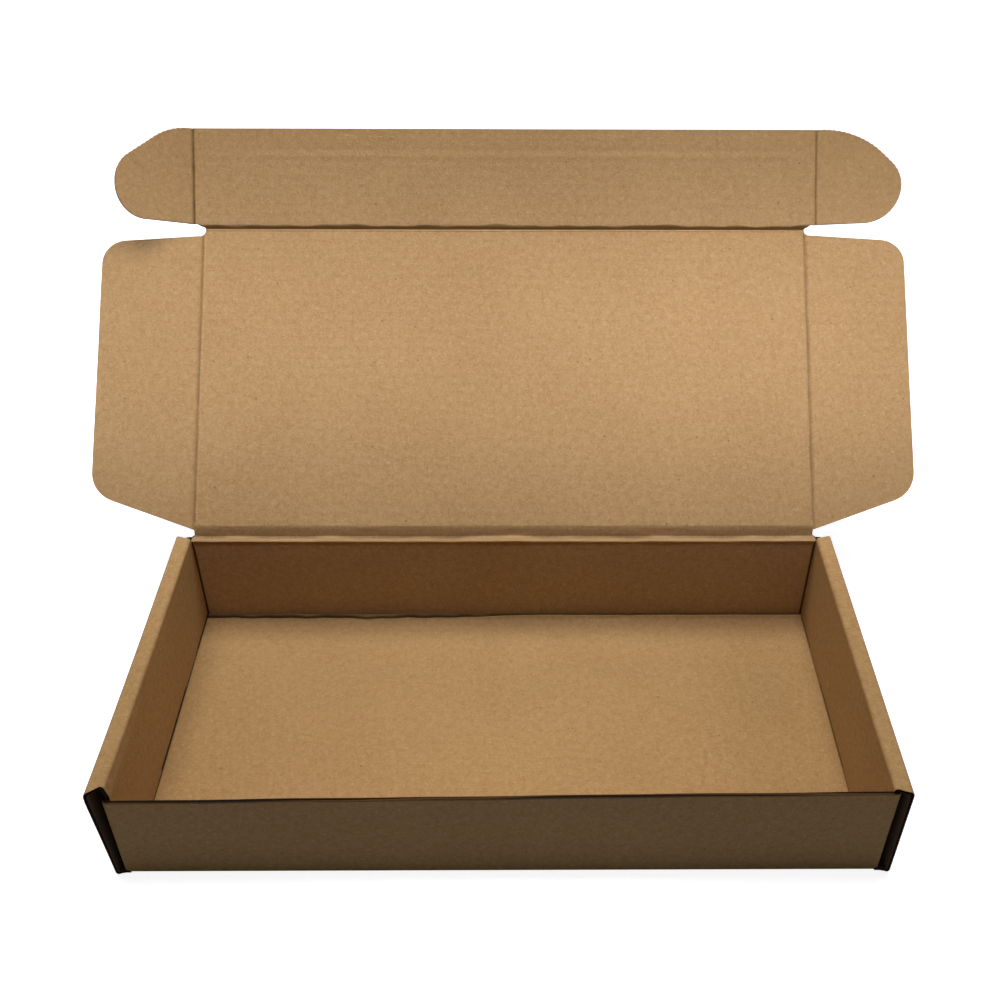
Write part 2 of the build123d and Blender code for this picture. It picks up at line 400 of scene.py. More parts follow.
def makeFlutedEdge():
    material = newMaterial("flutedCutEdge")
    place = addNode(material, "ShaderNodeUVMap", {"uv_map": "edge"})
    apart = addNode(material, "ShaderNodeSeparateXYZ", links={"Vector": (place, "UV")})
    turns = calc(material, "MULTIPLY", {1: fluteTurn}, {0: (apart, "X")})
    wave = calc(material, "SINE", links={0: (turns, "Value")})
    level = calc(material, "MULTIPLY", {1: 1 / mm}, {0: (apart, "Y")})
    gap = calc(material, "SUBTRACT", links={0: (wave, "Value"), 1: (level, "Value")})
    near = calc(material, "ABSOLUTE", links={0: (gap, "Value")})
    share = addNode(material, "ShaderNodeMapRange", values={
        "From Min": cutEdge["mediumShare"], "From Max": cutEdge["mediumShare"] * 1.6,
        "To Min": 1.0, "To Max": 0.0,
    }, links={"Value": (near, "Value")})
    colour = addNode(material, "ShaderNodeMix", {"data_type": "RGBA"},
                     {6: linear(cutEdge["hollowShade"]), 7: linear(cutEdge["medium"])}, {0: (share, "Result")})
    shader = addNode(material, "ShaderNodeBsdfPrincipled", links={"Base Color": (colour, 2)},
                     values={"Roughness": 0.95, "Specular IOR Level": 0.1})
    addNode(material, "ShaderNodeOutputMaterial", links={"Surface": (shader, "BSDF")})
    return material


kraftLiner = makeKraftLiner()
flutedEdge = makeFlutedEdge()
print("materials made")


# Tray

hinge = {
    "half": 112.7, "beadHalf": 113.9,
    "strip": 4.05,             # between the two scores
    "beadOut": 1.2, "beadAt": -0.95, "beadWide": 0.78, "beadHighlight": 0.5,
    "beadUneven": 0.4, "beadSway": 0.6,
    "scoreDeep": 0.14, "scoreWide": 0.4,
    "stripWave": 0.12, "stripShade": 0.06,
}

tray = {
    "innerWallX": 114.3,       # inside half width
    "frontRecess": 1.2,        # front wall behind the side walls' ends
    "frontDrop": 3.5,          # front wall below the rim, at its middle
    "frontTilt": 1.7,          # front wall's edge higher at its right end
    "cornerFlap": 36.0,
    "cornerTaper": 3.0,
    "flapLayer": 1.9,          # middle of the corner flap beyond the inner wall's face
    "edgeGap": 0.25,
    "tabWidth": 19.0,
    "tabApart": 57.0,
    "tabDrop": 1.2,
    "slit": 0.4,               # under the inner walls, more than edgeGap
    "floorPast": 1.05,         # floor's cut edge beyond the inner wall's face
    "beadFrom": 3.4,           # rear wall below the rim that belongs to the hinge crease
    "frontGroove": 0.12,       # front wall's edge, pressed nearly shut
    "frontWaver": 0.15,
    "flapBelow": 0.4,          # front corner flaps below the front wall's edge
    "wallWave": 0.08,
    "lipShade": 0.72,           # painted shade on the liners along the front wall's edge
    "cavityShade": 0.92,            # painted shade inside the rolled walls
}
frontY = sideFrontY + tray["frontRecess"]
frontMiddle, rearMiddle = frontY + half, rearY - half
floorHalf = tray["innerWallX"] + tray["floorPast"]
flapX = tray["innerWallX"] + tray["flapLayer"]
wallFoot = sheet["thick"] + tray["edgeGap"]
endFront, endRear = frontY + sheet["thick"] + tray["edgeGap"], rearY - sheet["thick"] - tray["edgeGap"]
frontTop = rim - tray["frontDrop"]
tabMiddle = (endFront + endRear) / 2
tabY = [tabMiddle - tray["tabApart"] / 2, tabMiddle + tray["tabApart"] / 2]
sharp = 0.05


# 1 where a locking tab is, 0 elsewhere
def atTab(y, margin):
    reach = tray["tabWidth"] / 2 + margin
    shown = [ease(y, t - reach - sharp, t - reach) - ease(y, t + reach, t + reach + sharp) for t in tabY]
    return np.max(shown, axis=0)


# values along y with close pairs at the tabs' sides
def tabSteps(start, end, margin):
    reach = tray["tabWidth"] / 2 + margin
    sides = [t + k * (reach + s) for t in tabY for k in (-1, 1) for s in (0, sharp)]
    plain = spread(start, end, sheet["cell"])
    clear = np.min(np.abs(plain[:, None] - np.array(sides)), axis=1) > 0.3
    clear[[0, -1]] = True
    return np.sort(np.concatenate([plain[clear], sides]))


# length along a folded line up to the middle of the base
def length0(line):
    return np.interp(0, line[:, 0], runLength(line))


# Floor: a rounded line from the front wall's foot to the rear wall's, carried across the box. The liner
# swells before the rear fold and drops into a wavy crease, which lies further forward on the left.
floorCrease = {
    "deep": 1.0, "wide": 0.6, "widerLeft": 0.3,
    "ahead": 0.9, "aheadLeft": 1.2,       # of the rear wall's middle
    "sway": 0.4, "swayLeft": 0.6,
    "swell": 0.8, "lowerLeft": 0.5, "swellSway": 0.5, "swellAhead": 1.4, "swellWide": 0.8,
    # painted shade: deep in the crease, lighter on the floor behind it
    "dark": 0.97, "pastCreaseShade": 0.28,
    "footShade": (0.9, 0.5),               # painted shade along the left and right inner walls
    "unevenness": 0.12,
}


def makeFloor():
    crease = floorCrease
    bendRoom, fineRoom, fineStep = 1.0, 4.0, 0.2
    line = roundedLine(
        [(frontMiddle, wallFoot), (frontMiddle, half), (rearMiddle, half), (rearMiddle, wallFoot)],
        [sheet["bend"]] * 2, sheet["cell"], 0.25)
    fine = tabSteps(line[:, 0].min(), line[:, 0].max(), tray["edgeGap"])
    flatPart = fine[(fine > frontMiddle + bendRoom) & (fine < rearMiddle - fineRoom - fineStep)]
    flatPart = np.concatenate([flatPart, spread(rearMiddle - fineRoom, rearMiddle - bendRoom, fineStep)])
    flatLine = np.stack([flatPart, np.full(len(flatPart), half)], axis=1)
    ends = (line[:, 0] < frontMiddle + bendRoom - sharp) | (line[:, 0] > rearMiddle - bendRoom + sharp)
    line = np.vstack([line[ends & (line[:, 0] < 0)], flatLine, line[ends & (line[:, 0] > 0)]])
    side = leftOf(line)
    length = runLength(line)[:, None] - length0(line)
    foot = tray["innerWallX"]
    sides = np.array([foot - 1.2, foot - 0.5, foot - 0.2, floorHalf])
    x = np.concatenate([-sides[::-1], spread(-foot + 2, foot - 2, sheet["cell"]), sides])[None, :]
    y = line[:, :1]
    lift = crease["unevenness"] * uneven(x, y, 3, 160) * ease(np.abs(y), rearMiddle, rearMiddle - 12)
    onLeft = ease(x, 8, -26)
    sway = waver(x, 11, (11, 23, 37, 71))
    creaseY = rearMiddle - crease["ahead"] - crease["aheadLeft"] * onLeft
    creaseY = creaseY - crease["swayLeft"] * sway * onLeft - crease["sway"] * sway
    swell = crease["swell"] - crease["lowerLeft"] * onLeft + crease["swellSway"] * sway
    swell = swell * bump(y, creaseY - crease["swellAhead"], crease["swellWide"])
    dent = crease["deep"] * (bump(y, creaseY, crease["wide"]) + 0.4 * bump(y, frontMiddle + 0.8, 0.5))
    rise = lift + swell - dent
    # painted shade in the rear crease, on the floor behind it and along the feet of the inner walls
    dark = crease["dark"] * bump(y, creaseY, crease["wide"] + crease["widerLeft"] * onLeft)
    pastCreaseShade = crease["pastCreaseShade"] * ease(y, creaseY - 0.3, creaseY + 0.1)
    footShade = ease(np.abs(x), foot - 0.55, foot - 0.25) * np.where(x < 0, *crease["footShade"])
    paintedShading = np.maximum(np.maximum(dark, pastCreaseShade), footShade)
    # the cut edge stands back where a locking tab comes through
    column = np.arange(x.shape[1])
    inset = np.where(column == 0, -1, 0) + np.where(column == x.shape[1] - 1, 1, 0)
    x = x - inset * atTab(y, tray["edgeGap"]) * (floorHalf - tray["innerWallX"] + 0.03)
    inner = points(x, y + side[:, :1] * half, line[:, 1:] + side[:, 1:] * half + rise)
    outer = points(x, y - side[:, :1] * half, line[:, 1:] - side[:, 1:] * half)
    place = flatPlace(x, length)
    return boardMesh("tray_floor", inner, outer, place, ("low", "high"), paintedShading)


# A wall and its two corner flaps: a rounded line in plan, carried up from low to high. The line runs with
# the inside on its left.
def makeWall(middleY, heading, top, flapTop, seed, steps=()):
    tipY = middleY + heading * tray["cornerFlap"]
    ahead = [(heading * x, middleY) for x in sorted([-x for x in steps] + list(steps))]
    before = [(-heading * flapX, tipY), (-heading * flapX, middleY)]
    after = [(heading * flapX, middleY), (heading * flapX, tipY)]
    radii = [sheet["bend"], *[0] * len(ahead), sheet["bend"]]
    line = roundedLine([*before, *ahead, *after], radii, sheet["cell"], 0.25)
    side = leftOf(line)
    x, y = line[:, :1], line[:, 1:]
    onFlap = ease(np.abs(y - middleY), 0.5, 2.0)
    taper = tray["cornerTaper"] * np.clip((np.abs(y - middleY) - 1.5) / tray["cornerFlap"], 0, 1)
    low = wallFoot + taper
    high = top(x) * (1 - onFlap) + flapTop * onFlap - taper
    share = np.append(np.linspace(0, 0.985, 18), 1)[None, :]
    z = low + (high - low) * share
    wave = tray["wallWave"] * uneven(x, z, seed, 120) * (1 - onFlap) * ease(z, wallFoot, wallFoot + 9)
    inner = points(x + side[:, :1] * half, y + side[:, 1:] * half + wave, z)
    outer = points(x - side[:, :1] * half, y - side[:, 1:] * half + wave, z)
    across = runLength(line)[:, None] - runLength(line)[-1] / 2
    place = flatPlace(heading * across, -heading * (abs(middleY) + z))
    # the corner flaps, which lie inside the rolled walls, get painted shade
    return place, inner, outer, tray["cavityShade"] * ease(np.abs(y - middleY), 0.7, 1.8)


def frontEdge(x):
    return frontTop + tray["frontTilt"] * x / floorHalf + tray["frontWaver"] * waver(x, 5, (41, 90))


def makeFrontWall():
    place, inner, outer, shade = makeWall(frontMiddle, 1, frontEdge, frontTop - tray["flapBelow"], 21)
    # painted shade on the top row of both liners, along the edge
    lip = tray["lipShade"] * (np.arange(inner.shape[1]) == inner.shape[1] - 1)
    shade = np.maximum(shade, lip)
    return boardMesh("front_wall", inner, outer, place, ("start", "end", "high"), shade, shade,
                     tray["frontGroove"])


# the rear wall stops below the hinge crease and goes on up beside it
def rearEdge(x):
    beside = np.abs(x) > hinge["beadHalf"] + 0.02
    return rim - tray["beadFrom"] + (tray["beadFrom"] - 0.7) * beside


def makeRearWall():
    ledge = hinge["beadHalf"]
    flapTop = rim - sheet["thick"] - tray["edgeGap"]
    place, inner, outer, shade = makeWall(rearMiddle, -1, rearEdge, flapTop, 22, (ledge - 0.5, ledge, ledge + 0.05))
    # painted shade on the inner liner where the rear wall meets the side walls
    corner = 0.85 * ease(np.abs(inner[:, :1, 0]), ledge - 0.5, ledge)
    return boardMesh("rear_wall", inner, outer, place, ("start", "end"), np.maximum(shade, corner), shade)


# Rolled side wall: a rounded line from the base, up, over the rim and down again inside, carried from the
# front end to the rear end. sign is 1 on the right and -1 on the left.
rolls = {
    "right_side_roll": {"sign": 1, "twist": 0.2, "setBack": -1.3, "lean": -0.4, "flare": 0.0, "seed": 31},
    "left_side_roll": {"sign": -1, "twist": 0.45, "setBack": 0.4, "lean": 0.65, "flare": 0.95, "seed": 32},
}
rollEnd = {
    "twistReach": 22, "leanReach": 4, "flareReach": 45,     # how far each fades from the front end
    "wave": 0.16, "wobble": 0.14,
    "crest": 0.2, "crestWide": 0.6,                         # liner standing out along the rim's two folds
}


def makeSideRoll(name, roll):
    outerX, innerX, spineZ = halfWidth - half, tray["innerWallX"] + half, rim - half
    line = roundedLine(
        [(floorHalf, half), (outerX, half), (outerX, spineZ), (innerX, spineZ), (innerX, wallFoot + tray["slit"])],
        [sheet["bend"]] * 3, sheet["cell"] * 0.8, 0.16)
    side = leftOf(line)
    length = runLength(line)
    wing, wall = outerX - floorHalf - sheet["bend"], spineZ - half
    spine = wing + wall + outerX - innerX - 0.6
    onWall = [0, wing - 0.3, wing + 0.5, wing + wall - 0.8, spine, spine + 3.5, length[-1]]
    footFront, spineFront = frontY + 0.25, endFront + roll["setBack"]
    front = [footFront, footFront, sideFrontY + 0.7, sideFrontY, spineFront, endFront, endFront]
    rear = [endRear, endRear, rearY, rearY, endRear, endRear, endRear]
    front, rear = (np.interp(length, onWall, ends)[:, None] for ends in (front, rear))
    steps = tabSteps(endFront, endRear, 0.0)
    y = front + (rear - front) * ((steps - endFront) / (endRear - endFront))[None, :]
    x, z = line[:, :1], line[:, 1:]
    height = np.clip((z - half) / (spineZ - half), 0, 1)
    isInner = ease(length, wing + wall + 2, wing + wall + 5)[:, None]
    isSpine = ease(length, wing + wall - 1, wing + wall + 4.5)[:, None]
    # at the front end the spine's inner edge lifts, the rim flares out and the outer wall's foot stands in
    fromEnd = y - sideFrontY
    lift = roll["twist"] * isSpine * np.exp(-fromEnd / rollEnd["twistReach"])
    outward = roll["lean"] * (height - 1) * (1 - isInner) * np.exp(-fromEnd / rollEnd["leanReach"])
    # below the rim the inner wall keeps its place, so that the ear has room behind it
    kept = isInner * ease(z, rim - 1.5, rim - 4)
    outward = outward + roll["flare"] * height * np.exp(-fromEnd / rollEnd["flareReach"]) * (1 - kept)
    wave = rollEnd["wave"] * uneven(y, z, roll["seed"], 110) * np.sin(np.pi * height)
    atFold = [length[np.argmin(np.hypot(line[:, 0] - c, line[:, 1] - spineZ))] for c in (innerX, outerX)]
    crest = sum(bump(length, at, rollEnd["crestWide"]) for at in atFold)
    face = half + (rollEnd["crest"] * crest)[:, None]
    wobble = rollEnd["wobble"] * waver(y, roll["seed"] + 5, (29, 47, 83))
    wobble = wobble * bump(length, wing + wall + 4.4, 1.6)[:, None]
    drop = np.zeros_like(y)
    drop[-1] = (tray["tabDrop"] + tray["slit"]) * atTab(steps, 0.0)
    inset = np.zeros_like(y)
    inset[0] = 0.4 * atTab(steps, tray["edgeGap"])
    x3 = x + outward + wave + inset
    z3 = z + lift + wobble - drop
    inner = points(roll["sign"] * (x3 + side[:, :1] * half), y, z3 + side[:, 1:] * half)
    outer = points(roll["sign"] * (x3 - side[:, :1] * face), y, z3 - side[:, 1:] * face)
    place = flatPlace(roll["sign"] * (floorHalf + length[:, None]), y)
    # the inner liner, on the hidden side within the roll, gets painted shade
    return boardMesh(name, inner, outer, place, ("start", "end", "low", "high"), tray["cavityShade"])


trayPieces = [makeFloor(), makeFrontWall(), makeRearWall()]
trayPieces += [makeSideRoll(name, roll) for name, roll in rolls.items()]
for piece in trayPieces:
    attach(piece, "tray")
    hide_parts("tray")
print("tray made")


# Lid and flaps: each panel lies in its own frame, with across along X, up away from its fold and out of
# the inner face

lid = {
    "scoreUp": 3.24,          # upper score above the hinge line
    "start": 1.5,             # of the panel beyond that score
    "sideStrip": 1.0,         # fold strip on the lid's side
    "topStrip": 1.2,
    "wave": 0.25,
    "slotX": (113.55, 114.2),  # middles of the round ends of the slots beside the tuck fold, left and right
    "slotUp": (-0.72, -0.4),
    "slotRadius": (1.72, 1.45),
}
lidOrigin = foldPoint("right_dust_fold") * (0, 1, 1)
lidUp = -foldAxis("right_dust_fold")
lidOut = np.cross(acrossX, lidUp)
lidFoldX = foldPoint("right_dust_fold")[0]
tuckOrigin = foldPoint("tuck_fold")
tuckUp = -foldAxis("right_ear_fold")
tuckOut = np.cross(acrossX, tuckUp)
earFoldX = foldPoint("right_ear_fold")[0]
lidLength = (tuckOrigin - lidOrigin) @ lidUp
sheetAtLid = rearMiddle + rim + hinge["strip"] - lid["scoreUp"]     # along the flat sheet, at the hinge line
sheetAtTuck = sheetAtLid + lidLength
lidPlane, tuckPlane = (lidOrigin, lidUp, lidOut), (tuckOrigin, tuckUp, tuckOut)


def onPanel(plane, x, v, w):
    origin, up, out = plane
    x, v, w = np.broadcast_arrays(x, v, w)
    return origin + x[..., None] * acrossX + v[..., None] * up + w[..., None] * out


# a flat piece of a panel: the inner face at height w, the outer face one board below it
def panelMesh(name, plane, x, v, w, sheetAt, openSides=()):
    inner, outer = onPanel(plane, x, v, w), onPanel(plane, x, v, w - sheet["thick"])
    return boardMesh(name, inner, outer, flatPlace(x, sheetAt + v), openSides)


# middle across, middle along and radius of the slot's end on the same side as x
def slotEnd(x):
    return [np.where(x < 0, *lid[key]) for key in ("slotX", "slotUp", "slotRadius")]


# distance along the lid from the tuck fold to the slot's round end, below it: middle - sqrt(r^2 - dx^2)
def slotBelow(x):
    middle, up, radius = slotEnd(x)
    return up - np.sqrt(radius ** 2 - np.clip(np.abs(x) - middle, -radius, 0) ** 2)


def makeLid():
    edge = lidFoldX - lid["sideStrip"]
    x = np.concatenate([[-edge], spread(-edge + 0.6, edge - 0.6, sheet["cell"]), [edge]])[:, None]
    low = lid["scoreUp"] + lid["start"]
    high = lidLength - np.where(np.abs(x) > edge - 0.1, -slotBelow(x), lid["topStrip"])
    share = spread(0, 1, sheet["cell"] / lidLength)[None, :]
    v = low + (high - low) * share
    fade = ease(lidLength - v, 2, 14) * ease(v, low, low + 12) * ease(edge - np.abs(x), 0, 12)
    w = lid["wave"] * uneven(x, v, 41, 150) * fade
    return panelMesh("lid_board", lidPlane, x, v, w, sheetAtLid)


lidBoard = makeLid()
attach(lidBoard, "lid")
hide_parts("lid_panel")


# Hinge crease: a rounded line from the rear wall, over the two scores, to the foot of the lid, carried
# across the box. The liner stands out as a bead below the lower score.
def makeHinge():
    lower = np.array([rearMiddle, rim])
    upper = (lidOrigin + lid["scoreUp"] * lidUp - half * lidOut)[1:]
    ahead = upper + lid["start"] * lidUp[1:]
    below = lower - (0, tray["beadFrom"])
    line = roundedLine([below, lower, upper, ahead], [1.0, 0.25], 0.28, 0.08)
    side = leftOf(line)
    length = runLength(line)[:, None]
    atLower = tray["beadFrom"]
    atUpper = atLower + np.linalg.norm(upper - lower)
    narrowing = ease(length, atLower - 0.3, atLower + 0.6)
    across = hinge["beadHalf"] + (hinge["half"] - hinge["beadHalf"]) * narrowing
    x = across * np.linspace(-1, 1, 141)[None, :]
    sway = waver(x, 51, (17, 31, 58, 97))
    beadMiddle = atLower + hinge["beadAt"] + hinge["beadSway"] * sway
    bead = hinge["beadOut"] * (1 + hinge["beadUneven"] * sway) * bump(length, beadMiddle, hinge["beadWide"])
    upperMiddle = atUpper - 0.1 + 0.2 * waver(x, 53, (19, 33, 61))
    scores = bump(length, atLower + 0.35, hinge["scoreWide"])
    scores = hinge["scoreDeep"] * (scores + 0.6 * bump(length, upperMiddle, 0.6 * hinge["scoreWide"]))
    strip = hinge["stripWave"] * waver(x, 52, (13, 27, 49)) * bump(length, (atLower + atUpper) / 2, 1.2)
    out = half + bead - scores + strip
    inner = points(x, line[:, :1] + side[:, :1] * out, line[:, 1:] + side[:, 1:] * out)
    outer = points(x, line[:, :1] - side[:, :1] * half, line[:, 1:] - side[:, 1:] * half)
    place = flatPlace(x, rearMiddle + rim - tray["beadFrom"] + length)
    # painted shade on the strip between the scores, and a painted highlight along the bead
    onStrip = ease(length, atLower + 0.2, atLower + 0.7) * ease(length, atUpper + 0.25, atUpper - 0.05)
    paintedShading = hinge["stripShade"] * onStrip - hinge["beadHighlight"] * bump(length, beadMiddle + 0.35, 0.6)
    piece = boardMesh("hinge_crease", inner, outer, place, ("low", "high"), paintedShading)
    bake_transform(piece)
    return piece


makeHinge()
print("lid and hinge made")


# height of the inner liner across a fold strip: a groove at crease["at"], wider on its far side, with a
# ridge on its near side
def creaseOffset(q, t, crease):
    sway = waver(t, crease["seed"], (11, 23, 41, 77))
    wide = np.where(q < crease["at"], crease["near"], crease["far"] * (1 + crease["sway"] * sway))
    groove = crease["deep"] * (1 + 0.3 * sway) * bump(q, crease["at"], wide)
    ridge = crease["ridge"] * bump(q, crease["at"] - 2.2 * crease["near"], crease["near"])
    return ridge - groove


# Dust flaps: the sheet between the fold line and a rounded outline, ruled from one to the other
dust = {
    "foot": 1.8, "rise": 13.5, "reach": 37.5, "spread": 0.45, "fall": 2.4,
    "radii": (11.25, 9.0), "strip": 1.6, "wave": 0.3, "dark": 0.26, "darkAt": 0.25,
    "steps": (110, 22),       # mesh rows along the outline and columns out to it
    "crease": {"at": 0.15, "near": 0.3, "far": 0.8, "deep": 0.42, "ridge": 0.12, "sway": 0.25},
    "sides": {"right": {"sign": 1, "seed": 61, "head": 1.95}, "left": {"sign": -1, "seed": 62, "head": 2.7}},
}


def makeDustFlap(label, sign, seed, head):
    rows, columns = dust["steps"]
    head = lidLength - head
    corners = [(0, dust["foot"]), (dust["reach"] + dust["spread"], dust["foot"] + dust["rise"]),
               (dust["reach"], head - dust["fall"]), (0, head)]
    outline = resample(roundedLine(corners, dust["radii"], 1e6, 0.4)[1:-1], rows)
    slopeLow = dust["rise"] / (dust["reach"] + dust["spread"])
    slopeHigh = dust["fall"] / dust["reach"]
    foldLow = dust["foot"] + slopeLow * dust["strip"]
    foldHigh = head - slopeHigh * dust["strip"]
    start = np.stack([np.full(rows, dust["strip"]), np.linspace(foldLow, foldHigh, rows)], axis=1)
    share = np.linspace(0, 1, columns)[None, :]
    q = start[:, :1] + (outline[:, :1] - start[:, :1]) * share
    v = start[:, 1:] + (outline[:, 1:] - start[:, 1:]) * share
    w = dust["wave"] * uneven(q, v, seed, 110) * ease(q, dust["strip"], 14)
    x = sign * (lidFoldX + q)
    flap = panelMesh(label + "_dust_board", lidPlane, x, v, w, sheetAtLid, ("start", "end", "high"))
    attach(flap, label + "_dust_flap")
    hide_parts(label + "_dust_flap")
    q = np.concatenate([spread(-lid["sideStrip"], 0.9, 0.12), spread(1.0, dust["strip"], 0.2)])[:, None]
    low = np.where(q < -0.15, lid["scoreUp"] + lid["start"], dust["foot"] + slopeLow * np.clip(q, 0, None))
    slotX = slotEnd(np.array(sign))[0]
    atSlot = lidFoldX + q < slotX - 0.3
    high = np.where(atSlot, lidLength + slotBelow(sign * (lidFoldX + q)), head - slopeHigh * q)
    v = low + (high - low) * spread(0, 1, 1.6 / lidLength)[None, :]
    w = creaseOffset(q, v, dict(dust["crease"], seed=seed + 10))
    w = w * ease(q, -lid["sideStrip"], -0.6) * ease(q, dust["strip"], 0.9)
    # painted shade along the fold line, wider on the flap's side
    dark = dust["dark"] * bump(q, dust["darkAt"], np.where(q < dust["darkAt"], 0.35, 0.8))
    paintedShading = dark * (1 + 0.25 * waver(v, seed, (9, 21, 47)))
    x = sign * (lidFoldX + q)
    inner, outer = onPanel(lidPlane, x, v, w), onPanel(lidPlane, x, v, -sheet["thick"])
    crease = boardMesh(label + "_dust_crease", inner, outer, flatPlace(x, sheetAtLid + v), ("low", "high"), paintedShading)
    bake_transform(crease)


for label, side in dust["sides"].items():
    makeDustFlap(label, **side)
print("dust flaps made")


# Tuck panel and its fold. The panel bends forward of the lid.
tuck = {
    "height": 37.1, "strip": 2.2, "earStrip": 1.6, "earFoot": 1.95, "wave": 0.1,
    "ridgeAt": 27.0, "ridgeOut": 0.10, "ridgeWide": 1.1, "dark": 0.43,
    "crease": {"at": 0.1, "near": 0.28, "far": 0.75, "deep": 0.75, "ridge": 0.15, "sway": 0.5, "seed": 71},
}


def makeTuck():
    edge = earFoldX - tuck["earStrip"]
    x = spread(-edge, edge, sheet["cell"])[:, None]
    v = tuck["strip"] + (tuck["height"] - tuck["strip"]) * np.linspace(0, 1, 40)[None, :]
    fade = ease(edge - np.abs(x), 0, 10) * ease(v, tuck["strip"], 8)
    w = tuck["wave"] * uneven(x, v, 72, 120) * fade
    w = w + tuck["ridgeOut"] * fade * (bump(v, tuck["ridgeAt"], tuck["ridgeWide"])
                                       - 0.8 * bump(v, tuck["ridgeAt"] + 2.6, tuck["ridgeWide"]))
    panel = panelMesh("tuck_board", tuckPlane, x, v, w, sheetAtTuck, ("high",))
    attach(panel, "tuck_panel")
    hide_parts("tuck_panel")


# the strip turns from the lid's plane into the panel's about the fold line on the inner face
def makeTuckCrease():
    v = np.concatenate([spread(-lid["topStrip"], 1.2, 0.12), spread(1.35, tuck["strip"], 0.2)])[None, :]
    endRoom = 4.5      # at each end of the strip, drawn in to meet the slot
    plain = lidFoldX - endRoom
    x = spread(-lidFoldX, lidFoldX, 1.5)[:, None]
    slotX, slotUp, slotRadius = slotEnd(x)
    slotTop = slotUp + slotRadius
    slotEdge = slotX - np.sqrt(np.clip(slotRadius ** 2 - (v - slotUp) ** 2, 0, None))
    climb = np.clip((v - slotTop) / (tuck["earFoot"] - slotTop), 0, 1)
    shoulder = slotX + (earFoldX - tuck["earStrip"] - slotX) * climb
    end = np.where(v < slotTop, slotEdge, shoulder)
    drawnIn = np.sign(x) * (plain + (np.abs(x) - plain) * (end - plain) / endRoom)
    x = np.where(np.abs(x) > plain, drawnIn, x)
    w = creaseOffset(v, x, tuck["crease"]) * ease(v, -lid["topStrip"], -0.7) * ease(v, tuck["strip"], 1.2)
    # painted shade in a wavy band just above the fold
    darkTop = 1.35 + 0.65 * waver(x, 73, (13, 29, 61))
    paintedShading = tuck["dark"] * ease(v, -0.12, 0.12) * ease(v, darkTop + 0.45, darkTop - 0.3)
    turn = ease(v, -0.6, 0.6)[..., None]
    up = unit(lidUp * (1 - turn) + tuckUp * turn)
    out = np.cross(acrossX, up)
    x, w = np.broadcast_arrays(x, w)
    base = tuckOrigin + x[..., None] * acrossX
    base = base + np.minimum(v, 0)[..., None] * lidUp + np.maximum(v, 0)[..., None] * tuckUp
    inner, outer = base + w[..., None] * out, base - sheet["thick"] * out
    crease = boardMesh("tuck_crease", inner, outer, flatPlace(x, sheetAtTuck + v), ("start", "end"), paintedShading)
    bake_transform(crease)


makeTuck()
makeTuckCrease()
print("tuck panel made")


# Locking ears: ruled from the fold to a rounded outline whose upper round is cut with a wavy rule
ear = {
    "foot": 1.95, "reach": 31.1, "heel": 2.3,
    "strip": 0.9, "wave": 0.3, "scallop": 0.1, "scallopPitch": 1.9,
    "steps": (170, 18),       # mesh rows along the outline and columns out to it
    "crease": {"near": 0.25, "far": 0.45, "deep": 0.32, "ridge": 0.08, "sway": 0.3},
    "sides": {
        "right": {"sign": 1, "seed": 81, "bend": 10, "stretch": 1.0, "tip": 20.6, "crown": 15.2,
                  "radii": (13.6, 12.4, 32.0), "fall": 0.25, "foldAt": 0.05, "foldWide": 0.38, "dark": 0.3},
        "left": {"sign": -1, "seed": 82, "bend": 28, "stretch": 0.884, "tip": 21.4, "crown": 9.2,
                 "radii": (12.2, 12.0, 25.0), "fall": 0.6, "foldAt": -0.8, "foldWide": 0.62, "dark": 0.42},
    },
}


